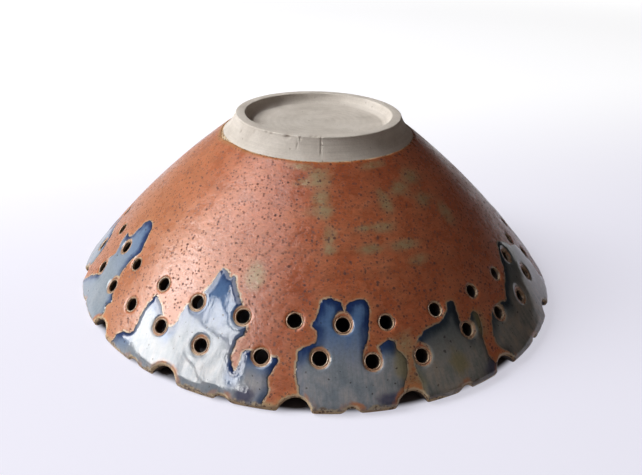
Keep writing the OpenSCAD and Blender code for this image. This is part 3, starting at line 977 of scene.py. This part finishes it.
def liner_finish():
    """Near-black brown glaze with faint rusty breaks"""
    made, where = new_finish("dark_liner_glaze")
    colour = ramp(cloud(where, 120, 4), [(0.35, (0.012, 0.01, 0.01)), (0.7, (0.045, 0.026, 0.018))])
    return surfaced(made, {"Base Color": colour, "Roughness": 0.18}, cloud(where, 500, 2), 0.05 * mm)


low = even_line(liner_low, low_stations)
fences, spots = whole_sheet(bare_lip, ring_steps[[1, 3]], low)
spots += [low[1:-1] + [0, s] for s in ring_steps[[1, 3]]]
turn, up, faces = flat_sheet(fences, np.vstack(spots), liner_room, liner_spacing)
under = clay_off(cut_gap(turn, up))
cover = coat_cover(liner_room(turn, up), liner_t)
liner_coat = two_skins("liner_coat", (turn, up, faces), -under, inner_profile(0), -under - cover,
                       inner_profile(liner_t), {})
liner_coat.data.materials.append(liner_finish())
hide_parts("liner_glaze")
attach(liner_coat, "root")

# Blue runs
# Separate runs of a glossy cobalt glaze that was dripped from the rim over the rust coat.
# Each one is navy along its top edges, blue inside them and grey where it thickened below.
run_t = 0.27 * mm
run_edge_t = 0.04 * mm
run_bed_share = 0.8
run_round = 2.6 * mm
halo_round = 1.2 * mm
run_side = 40 * mm
run_spacing = 1.1 * mm
crest_w = 4 * mm
crest_h = 7.5 * mm
crest_share = 0.85


def blue_finish():
    """Navy at the upper edges, then blue, then streaked slate, with darker teal-grey copies as painted shade
    on the shaded side and a painted pale reflection on the far left
    """
    made, where = new_finish("blue_run_glaze")
    tree = where.tree
    side = add(tree, "ShaderNodeSeparateXYZ", {0: where})["X"]
    high = fact(where, "up")
    inside = fact(where, "inside")
    around = fact(where, "around")
    streak = soft_noise(add(tree, "ShaderNodeCombineXYZ", {"X": around, "Y": high * 0.14}), 0.75, 4, 0.6)
    blot = cloud(where, 150, 4, 0.6, 3)
    fine = cloud(where, 1100, 3, 0.7, 5)
    blot_off = blot - 0.5
    streak_off = streak - 0.5
    upper = fade(fact(where, "tall") + (blot_off * 0.5 + streak_off * 0.35), 0.24, 0.8)
    # Painted shade: toward the shaded right the slate, blue, navy and rim specks turn to darker, greyer
    # copies, and the dark edges are eased
    painted_shade_side = fade(side, 0.016, 0.044)
    streaky = blot + streak_off * 0.8
    slate = ramp(streaky, [(0.3, (0.2, 0.235, 0.275)), (0.5, (0.275, 0.3, 0.335)),
                           (0.68, (0.36, 0.355, 0.37))])
    painted_shade_slate = ramp(streaky, [(0.3, (0.185, 0.202, 0.193)), (0.5, (0.28, 0.274, 0.255)),
                         (0.68, (0.37, 0.325, 0.275))])
    blue = blend(painted_shade_side, (0.075, 0.16, 0.34), (0.085, 0.105, 0.115))
    colour = blend(upper * 0.92, blend(painted_shade_side, slate, painted_shade_slate), blue)
    deep = inside + (blot_off * 4.5 + streak_off * 2.4) - upper * 0.3
    navy_part = fade(deep, 3.6, 0.5) * (upper * 0.7 + 0.28)
    colour = blend(navy_part, colour, blend(painted_shade_side, (0.012, 0.03, 0.115), (0.014, 0.022, 0.032)))
    # Painted reflection: on the far left the glaze is paled toward grey-blue, less where it is navy
    colour = blend(fade(side, -0.05, -0.085) * (0.7 - navy_part * 0.7), colour, (0.3, 0.36, 0.42))
    violet = fact(where, "violet") + blot_off * 1.2
    colour = blend(fade(violet, 0.3, 0.9) * 0.8, colour, (0.05, 0.05, 0.11))
    olive = fact(where, "olive") + blot_off * 1.2
    colour = blend(fade(olive, 0.25, 0.9) * 0.7, colour, (0.25, 0.215, 0.1))
    colour = blend(0.5, colour, ramp(fine, [(0.34, 0.7), (0.6, 1.0)]), "MULTIPLY")
    jag = (cloud(where, 700, 3, 0.6, 8) - 0.5) * 1.1
    edge_dark = blend(upper, (0.045, 0.05, 0.035), (0.008, 0.014, 0.04))
    colour = blend(fade(inside + jag, 0.7, 0.2) * (0.75 - painted_shade_side * 0.4), colour, edge_dark)
    colour = blend(fade(inside, 0.2, 0.04) * 0.5, colour, (0.3, 0.24, 0.15))
    hole = fact(where, "hole") + jag
    colour = blend(fade(hole, 0.4, 0.05) * 0.55, colour, (0.36, 0.24, 0.14))
    notch = fact(where, "notch") + jag * 1.6
    waver = soft_noise(add(tree, "ShaderNodeCombineXYZ", {"X": around * 0.16}), 1, 2)
    warm = fade(notch, 2.2, 0.9) * fade(waver, 0.42, 0.62)
    colour = blend(warm * 0.85, colour, (0.54, 0.21, 0.08))
    colour = blend(fade(notch, 0.8, 0.2) * 0.8, colour, (0.6, 0.47, 0.29))
    band = high + jag * 0.9 + (waver - 0.5) * 3.5
    speck = ramp(cloud(where, 1000, 2), [(0.4, (0.16, 0.1, 0.055)), (0.56, (0.5, 0.39, 0.23))])
    speck = blend(painted_shade_side, speck, (0.12, 0.085, 0.055))
    colour = blend(fade(band, 0.1, -0.7) * 0.9, colour, speck)
    colour = blend(specks(where, 420, 0.2, 11) * 0.7, colour, (0.03, 0.025, 0.025))
    return surfaced(made, {"Base Color": colour, "Roughness": 0.06},
                    cloud(where, 80, 1, 0.3, 9) + streak * 0.06, 0.55 * mm)


# Violet where the glaze lies thick at the rim: turn in degrees; up, half width, half height in mm
violet_patches = in_mm([
    (286, 1.2, 5, 2.2), (309, 1, 5, 3), (313, 0.5, 3, 3), (258, 1.5, 3, 2.5), (100, 1, 6, 2),
    (45, 1, 5, 2),
])


def swell(value):
    """Rises from 0 to 1 and levels off, with a soft shoulder"""
    return 1 - (1 - np.clip(value, 0, 1)) ** 2


def halo_loop(i):
    """Outline of the bare halo round a drain hole in (across, up) about its centre"""
    loop = hole_loop(run_lip)
    loop[loop[:, 1] > 0, 1] *= 1 + halo_rise_shares[i]
    return loop


def crest(x, up, loop):
    """How near points lie to a run's own upper edges, from 0 to 1, further below than beside"""
    way = np.roll(loop, -4, axis=0) - np.roll(loop, 4, axis=0)
    faces_up = -way[:, 0] / np.hypot(way[:, 0], way[:, 1])
    near = np.zeros(len(x))
    for (edge_x, edge_up), facing in zip(loop, faces_up):
        if facing > 0:
            far = -((x - edge_x) / crest_w) ** 2 - ((edge_up - up) / crest_h) ** 2
            near = np.maximum(near, facing * np.exp(far))
    return near


blue_glaze = blue_finish()
for name, centre, loop in runs:
    centre = unrolled(centre)

    def run_room(turn, up, centre=centre, loop=loop):
        """Distance in from the run's own edge, the rim line, the holes and the notches"""
        own = -loop_gap(across(turn, up, centre), up, loop)
        cuts = np.minimum(notch_gap(turn, up) - bare_lip, halo_gap(turn, up))
        return np.min([own, cuts, up - low_line(turn)], axis=0)

    fences = [(placed(loop, centre), True)]
    spots = [placed(grown(loop, -s), centre) for s in np.array([0.15, 0.4, 0.8, 1.3, 2]) * mm]
    cuts = [(spot_turn, spot_up, halo_loop(i) + [0, spot_up])
            for i, (spot_turn, spot_up) in enumerate(holes)]
    cuts += [(spot_turn, 0, grown(notch_loop(i), bare_lip)) for i, spot_turn in enumerate(notches)]
    for spot_turn, spot_up, ring in cuts:
        if abs(across(spot_turn, spot_up, centre)) < run_side:
            fences.append((placed(ring, unrolled(spot_turn)), True))
            spots += [placed(grown(ring, s), unrolled(spot_turn)) for s in ring_steps]
    side_turn = np.degrees(run_side / rim_r)
    turns = np.arange(centre - side_turn, centre + side_turn, 0.5)
    low = np.stack([turns, low_line(turns)], -1)
    fences.append((low, False))
    spots += [low + [0, s] for s in ring_steps]
    limits = (centre - side_turn, centre + side_turn, -half_t, loop[:, 1].max())
    turn, up, faces = flat_sheet(fences, np.vstack(spots), run_room, run_spacing, limits)
    under = clay_off(cut_gap(turn, up)) + coat_cover(rust_room(turn, up), rust_t) * run_bed_share
    x = across(turn, up, centre)
    inside = -loop_gap(x, up, loop)
    halo = halo_gap(turn, up)
    notch = notch_gap(turn, up) - bare_lip
    full = np.minimum(swell(np.minimum(inside, up - low_line(turn)) / run_round),
                      swell(np.minimum(halo, notch) / halo_round))
    cover = run_edge_t + run_t * full * (0.94 + 0.06 * wall_noise(turn, up, 110))
    facts = {"up": up / mm, "tall": np.maximum(up / loop[:, 1].max(), crest_share * crest(x, up, loop)),
             "around": (x + rim_r * math.radians(centre)) / mm, "inside": inside / mm,
             "hole": halo / mm, "notch": notch / mm, "violet": patches(turn, up, violet_patches),
             "olive": patches(turn, up, olive_patches)}
    run_piece = coat(name.replace("blue_", "blue_run_"), turn, up, faces, under, cover, facts)
    run_piece.data.materials.append(blue_glaze)
    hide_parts(name)
    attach(run_piece, "root")

# Foot ring
# The foot was trimmed on the wheel from the same clay and left bare, so it is pale and dry.
# Its outside is a drawn-in bevel, its face is flat with worn edges, and it frames a shallow well.
foot_face_r = 33.7 * mm
foot_land_w = 4 * mm
foot_edge_r = 0.5 * mm
foot_waist = 0.5 * mm
well_fillet = 3.2 * mm
ridge_pitch = 0.9 * mm
ridge_depth = 0.05 * mm
foot_stations = 720


def foot_profile():
    """Closed section of the foot in (radius, height), from its base up and round"""
    land_r = foot_face_r - foot_land_w
    brow = np.array([foot_face_r, foot_z - foot_edge_r])
    way = (brow - base_edge) / np.linalg.norm(brow - base_edge)
    out = np.array([way[1], -way[0]])
    share = np.linspace(0, 1, 14)[:-1, None]
    bevel = base_edge + (brow - base_edge) * share - out * 4 * foot_waist * share * (1 - share)
    turns = np.radians(np.linspace(0, 90, 7))[:, None]
    quarter = foot_edge_r * np.hstack([np.cos(turns), np.sin(turns)])
    outer_edge = np.array([foot_face_r - foot_edge_r, foot_z - foot_edge_r]) + quarter
    inner_edge = np.array([land_r + foot_edge_r, foot_z - foot_edge_r]) + quarter[::-1] * [-1, 1]
    fillet_r = well_r - well_fillet * 0.55
    fillet_foot = np.array([fillet_r, well_z + 0.02 * mm])
    top = np.array([land_r, foot_z - foot_edge_r])
    share = np.linspace(0, 1, 12)[1:, None]
    corner = np.array([well_r + 0.9 * mm, well_z])
    well = top * (1 - share) ** 2 + 2 * corner * share * (1 - share) + fillet_foot * share ** 2
    inner = np.array([[fillet_r, base_z + 0.5 * mm], [well_r, base_z]])
    return np.vstack([bevel, outer_edge, inner_edge, well, inner])


def turning_tree():
    """Nodes that revolve a section's points about the axis and trim ridges into them"""
    tree, given = new_nodes("turned_on_the_wheel", {
        "Section": "Geometry", "Stations": "Int", "Section points": "Int", "Ridge depth": "Float",
        "Ridge pitch": "Float", "Finish": "Material"})
    round_count = given["Section points"] + 1
    grid = add(tree, "GeometryNodeMeshGrid", {"Vertices X": given["Stations"] + 1, "Vertices Y": round_count})
    index = add(tree, "GeometryNodeInputIndex")
    column = maths("FLOOR", index / round_count)
    row = maths("MODULO", index - column * round_count, given["Section points"])
    taken = add(tree, "GeometryNodeSampleIndex", {
        "Geometry": given["Section"], "Value": add(tree, "GeometryNodeInputPosition"), "Index": row,
    }, data_type="FLOAT_VECTOR")
    away = add(tree, "ShaderNodeSeparateXYZ", {0: taken})
    high = away["Z"]
    angle = column * math.tau / given["Stations"]
    cosine, sine = maths("COSINE", angle), maths("SINE", angle)
    ring = add(tree, "ShaderNodeCombineXYZ", {"X": cosine, "Y": sine})
    spin = high / given["Ridge pitch"] + away / given["Ridge pitch"]
    wave = maths("SINE", (spin + soft_noise(ring, 1.7, 2)) * math.tau)
    away = away + (wave - 1) * (given["Ridge depth"] * 0.5)
    spot = add(tree, "ShaderNodeCombineXYZ", {"X": away * cosine, "Y": away * sine, "Z": high})
    moved = add(tree, "GeometryNodeSetPosition", {"Geometry": grid, "Position": spot})
    merged = add(tree, "GeometryNodeMergeByDistance", {"Geometry": moved, "Distance": 0.004 * mm})
    return ended(tree, merged, given["Finish"])


def foot_finish():
    """Pale grey-buff clay with trimming lines, fine grain, pits and painted shade in the dents of its
    handling marks
    """
    made, where = new_finish("bare_foot_clay")
    colour = ramp(cloud(where, 90, 5, 0.6),
                  [(0.3, (0.5, 0.45, 0.395)), (0.5, (0.6, 0.55, 0.49)), (0.7, (0.67, 0.62, 0.56))])
    lines = soft_noise(stretched(where, (25, 25, 1500)), 1, 3)
    colour = blend(0.35, colour, ramp(lines, [(0.35, 0.75), (0.65, 1.0)]), "MULTIPLY")
    dust = cloud(where, 1500, 2, 0.7)
    colour = blend(0.4, colour, ramp(dust, [(0.35, 0.78), (0.6, 1.0)]), "MULTIPLY")
    pits = specks(where, 330, 0.13, 5)
    colour = blend(pits * 0.6, colour, (0.2, 0.15, 0.11))
    # Painted shade darkens the dents of the handling marks
    colour = blend(fact(where, "painted_dent_shade") * 0.55, colour, (0.17, 0.12, 0.085))
    return surfaced(made, {"Base Color": colour, "Roughness": 0.8},
                    lines * 0.7 + dust * 0.35 - pits, 0.12 * mm)


section = foot_profile()
section_mesh = bpy.data.meshes.new("foot_section")
section_mesh.from_pydata([(r, 0, z) for r, z in section], [], [])
foot_clay = foot_finish()
foot = by_nodes("foot_ring_turned", section_mesh, turning_tree(),
                {"Stations": foot_stations, "Section points": len(section), "Ridge depth": ridge_depth,
                 "Ridge pitch": ridge_pitch, "Finish": foot_clay}, 45)

# Marks of handling on the foot: turn in degrees; radius, height, half width, half length and
# depth in mm, with a negative depth for a raised one
marks = in_mm([
    (251.2, 33.5, 69.3, 1, 0.5, 0.6), (251, 33.1, 69.9, 1.2, 0.3, -0.2),
    (272.4, 33.7, 69.2, 0.22, 1.3, 0.17), (272.5, 34.9, 67.2, 0.22, 1.3, 0.17),
    (272.5, 36.2, 65.2, 0.25, 1.1, 0.16), (259.6, 33.6, 69.4, 0.35, 0.7, 0.25),
    (258.8, 34, 68.5, 0.4, 0.8, -0.16), (258.1, 34.9, 67, 0.35, 0.9, 0.2),
    (266.2, 33.3, 69.9, 0.6, 0.4, 0.22), (269.2, 33.3, 69.9, 0.6, 0.4, 0.22),
    (213, 35, 66.8, 0.5, 0.6, 0.3), (225.8, 34, 68.5, 0.5, 0.5, 0.26),
    (235.8, 33.5, 69.5, 0.6, 0.4, 0.28), (239.8, 33.5, 69.5, 0.5, 0.4, 0.28),
    (96, 34.2, 68.5, 0.8, 0.6, 0.3), (31, 35.4, 66.4, 0.3, 1.4, 0.2),
])
mark_near = 8
mark_inner_r = 31 * mm
# How deep a dent is when its painted shade is full
full_dent_shade_depth = 0.25 * mm
painted_dent_shade = np.zeros(len(foot.data.vertices))
for vertex in foot.data.vertices:
    away = math.hypot(vertex.co.x, vertex.co.y)
    at = math.degrees(math.atan2(vertex.co.y, vertex.co.x)) % 360
    for mark_turn, mark_r, mark_z, half_w, half_l, depth in marks:
        aside = turn_from(at, mark_turn)
        if abs(aside) > mark_near or away < mark_inner_r:
            continue
        x = math.radians(aside) * away
        y = math.hypot(away - mark_r, vertex.co.z - mark_z)
        push = depth * math.exp(-(x / half_w) ** 2 - (y / half_l) ** 2)
        painted_dent_shade[vertex.index] = max(painted_dent_shade[vertex.index], push / full_dent_shade_depth)
        shorter = 1 - push / away
        vertex.co = (vertex.co.x * shorter, vertex.co.y * shorter, min(vertex.co.z - push / 2, foot_z))
layer = foot.data.attributes.new("painted_dent_shade", "FLOAT", "POINT")
layer.data.foreach_set("value", np.clip(painted_dent_shade, 0, 1).astype(np.float32))
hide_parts("foot_ring")
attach(foot, "root")

# Well floor
# The floor of the foot's well is the same bare clay as the foot. It was smoothed with a rib
# as the foot was trimmed, which left faint rings in it.
rib_depth = 0.035 * mm
disc_lift = 0.06 * mm
disc_sink = 0.2 * mm


def well_disc():
    """A thin closed disc with faint rings, on the clay wall's own well floor"""
    radii = np.linspace(well_r - 0.05 * mm, 1 * mm, 40)
    turns = np.radians(np.arange(0, 360, 2))
    count = len(turns)
    points = []
    for r in radii:
        high = well_z + disc_lift + rib_depth * math.sin(r / ridge_pitch * math.tau)
        points += [(r * math.cos(t), r * math.sin(t), high) for t in turns]
    middle = len(points)
    points += [(0, 0, well_z + disc_lift)]
    under = middle + 1
    low = well_z - disc_sink
    points += [(well_r * math.cos(t) * 0.999, well_r * math.sin(t) * 0.999, low) for t in turns]
    points += [(0, 0, low)]
    steps = [(j, (j + 1) % count) for j in range(count)]
    faces = [(k + j, k + n, k + count + n, k + count + j)
             for k in range(0, middle - count, count) for j, n in steps]
    for j, n in steps:
        faces.append((middle - count + j, middle - count + n, middle))
        faces.append((n, j, under + j, under + n))
        faces.append((under + n, under + j, under + count))
    mesh = bpy.data.meshes.new("well_floor")
    mesh.from_pydata(points, [], faces)
    return finished("well_floor", mesh, 50)


well_floor = well_disc()
well_floor.data.materials.append(foot_clay)
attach(well_floor, "root")

# Table and light
# The bowl stands on a plain white table in a pale room. A window to its left lights it, and
# the glossy glaze mirrors the window's panes and the ones above them.
table_reach = 4
pane_distance = 1.5
pane_sweep = 5.9
pane_glare = 15


def toward(where, way):
    """How far a place lies along a way"""
    return add(where.tree, "ShaderNodeVectorMath", {0: where, 1: way}, operation="DOT_PRODUCT")["Value"]


def stage_finish():
    """A white sweep, paler to the eye than to the light so that the shadow on it stays soft, with a painted
    glow that is brighter toward the window side and none inside the rim
    """
    made, where = new_finish("white_sweep")
    path = add(where.tree, "ShaderNodeLightPath")
    seen = path["Is Camera Ray"]
    mirrored = path["Is Glossy Ray"]
    # Painted light: the glow is lavender at the front and brighter toward the back left, on the window side
    window_side_glow = blend(fade(toward(where, (-0.3, 0.95, 0)), -0.05, 0.3), (0.55, 0.545, 0.61), (0.8, 0.805, 0.8))
    away = add(where.tree, "ShaderNodeVectorMath", {0: where}, operation="LENGTH")["Value"]
    outside = fade(away, rim_r - 3.5 * mm, rim_r - 0.5 * mm)
    feed(made.node_tree.nodes["Principled BSDF"], {
        "Base Color": blend(maths("MAXIMUM", seen, mirrored), (0.55, 0.52, 0.5), (0.33, 0.328, 0.37)),
        "Emission Color": blend(fade(away, 0.8, 1.6), window_side_glow, (1, 1, 1)),
        "Emission Strength": maths("MAXIMUM", seen, mirrored * 0.7) * outside,
        "Roughness": 0.9, "Specular IOR Level": 0})
    return made


table_mesh = bpy.data.meshes.new("table")
corners = [(-1, -1), (1, -1), (1, 1), (-1, 1)]
table_mesh.from_pydata([(x * table_reach, y * table_reach, 0) for x, y in corners], [], [(0, 1, 2, 3)])
table = bpy.data.objects.new("table", table_mesh)
bpy.context.scene.collection.objects.link(table)
table.data.materials.append(stage_finish())
table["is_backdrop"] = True


def window(name, turn, lift, distance, width, height, glare, mirrored):
    """A window of a width and height, facing the bowl, that lights it or is only mirrored in it"""
    light = bpy.data.lights.new(name, "AREA")
    light.shape = "RECTANGLE"
    light.size = width
    light.size_y = height
    light.energy = glare * math.pi * width * height
    made = bpy.data.objects.new(name, light)
    turn, lift = math.radians(turn), math.radians(lift)
    way = Vector((math.cos(lift) * math.cos(turn), math.cos(lift) * math.sin(turn), math.sin(lift)))
    place = way * distance
    made.location = place
    made.rotation_euler = (-place).to_track_quat("-Z", "Y").to_euler()
    made.visible_diffuse = not mirrored
    made.visible_glossy = mirrored
    bpy.context.scene.collection.objects.link(made)


window("window_light", 183, 39, 1.6, 0.95, 0.8, 14.6, False)
panes = [
    ("high_pane", 182, 53.5, 0.62, 0.25, 5.5), ("high_pane", 198, 65, 1.2, 0.52, 4.6),
    ("window_pane", 191.5, 22, 0.82, 0.25, 14), ("window_pane", 191.5, 32, 0.82, 0.25, 13.5),
    ("window_pane", 190.5, 41.2, 0.57, 0.22, 8),
]
for lift, height, turns in (
        (45.7, 0.19, (220.3, 227.7)), (38.7, 0.11, (213.5, 220.3, 227.7, 235)),
        (33.2, 0.12, (213.5, 220.3, 227.7, 235)), (26.5, 0.17, (213.5, 220.3))):
    width = pane_distance * math.cos(math.radians(lift)) * math.radians(pane_sweep)
    panes += [("window_pane", turn, lift, width, height, pane_glare) for turn in turns]
for name, turn, lift, width, height, glare in panes:
    window(name, turn, lift, pane_distance, width, height, glare, True)

world = bpy.data.worlds.new("room")
bpy.context.scene.world = world
world.use_nodes = True
path = add(world.node_tree, "ShaderNodeLightPath")
way = add(world.node_tree, "ShaderNodeTexCoord")["Generated"]
pale_wall = fade(toward(way, (-0.866, 0.5, 0)), 0.35, 0.95) * 0.27 + 0.04
room = blend(path["Is Glossy Ray"], (0.068, 0.048, 0.039), pale_wall)
feed(world.node_tree.nodes["Background"], {"Color": blend(path["Is Camera Ray"], room, (1, 1, 1))})

bpy.context.scene.view_settings.view_transform = "Standard"

size = {"cad": [list(corner) for corner in cad_box], "visual": [list(corner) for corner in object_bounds()]}
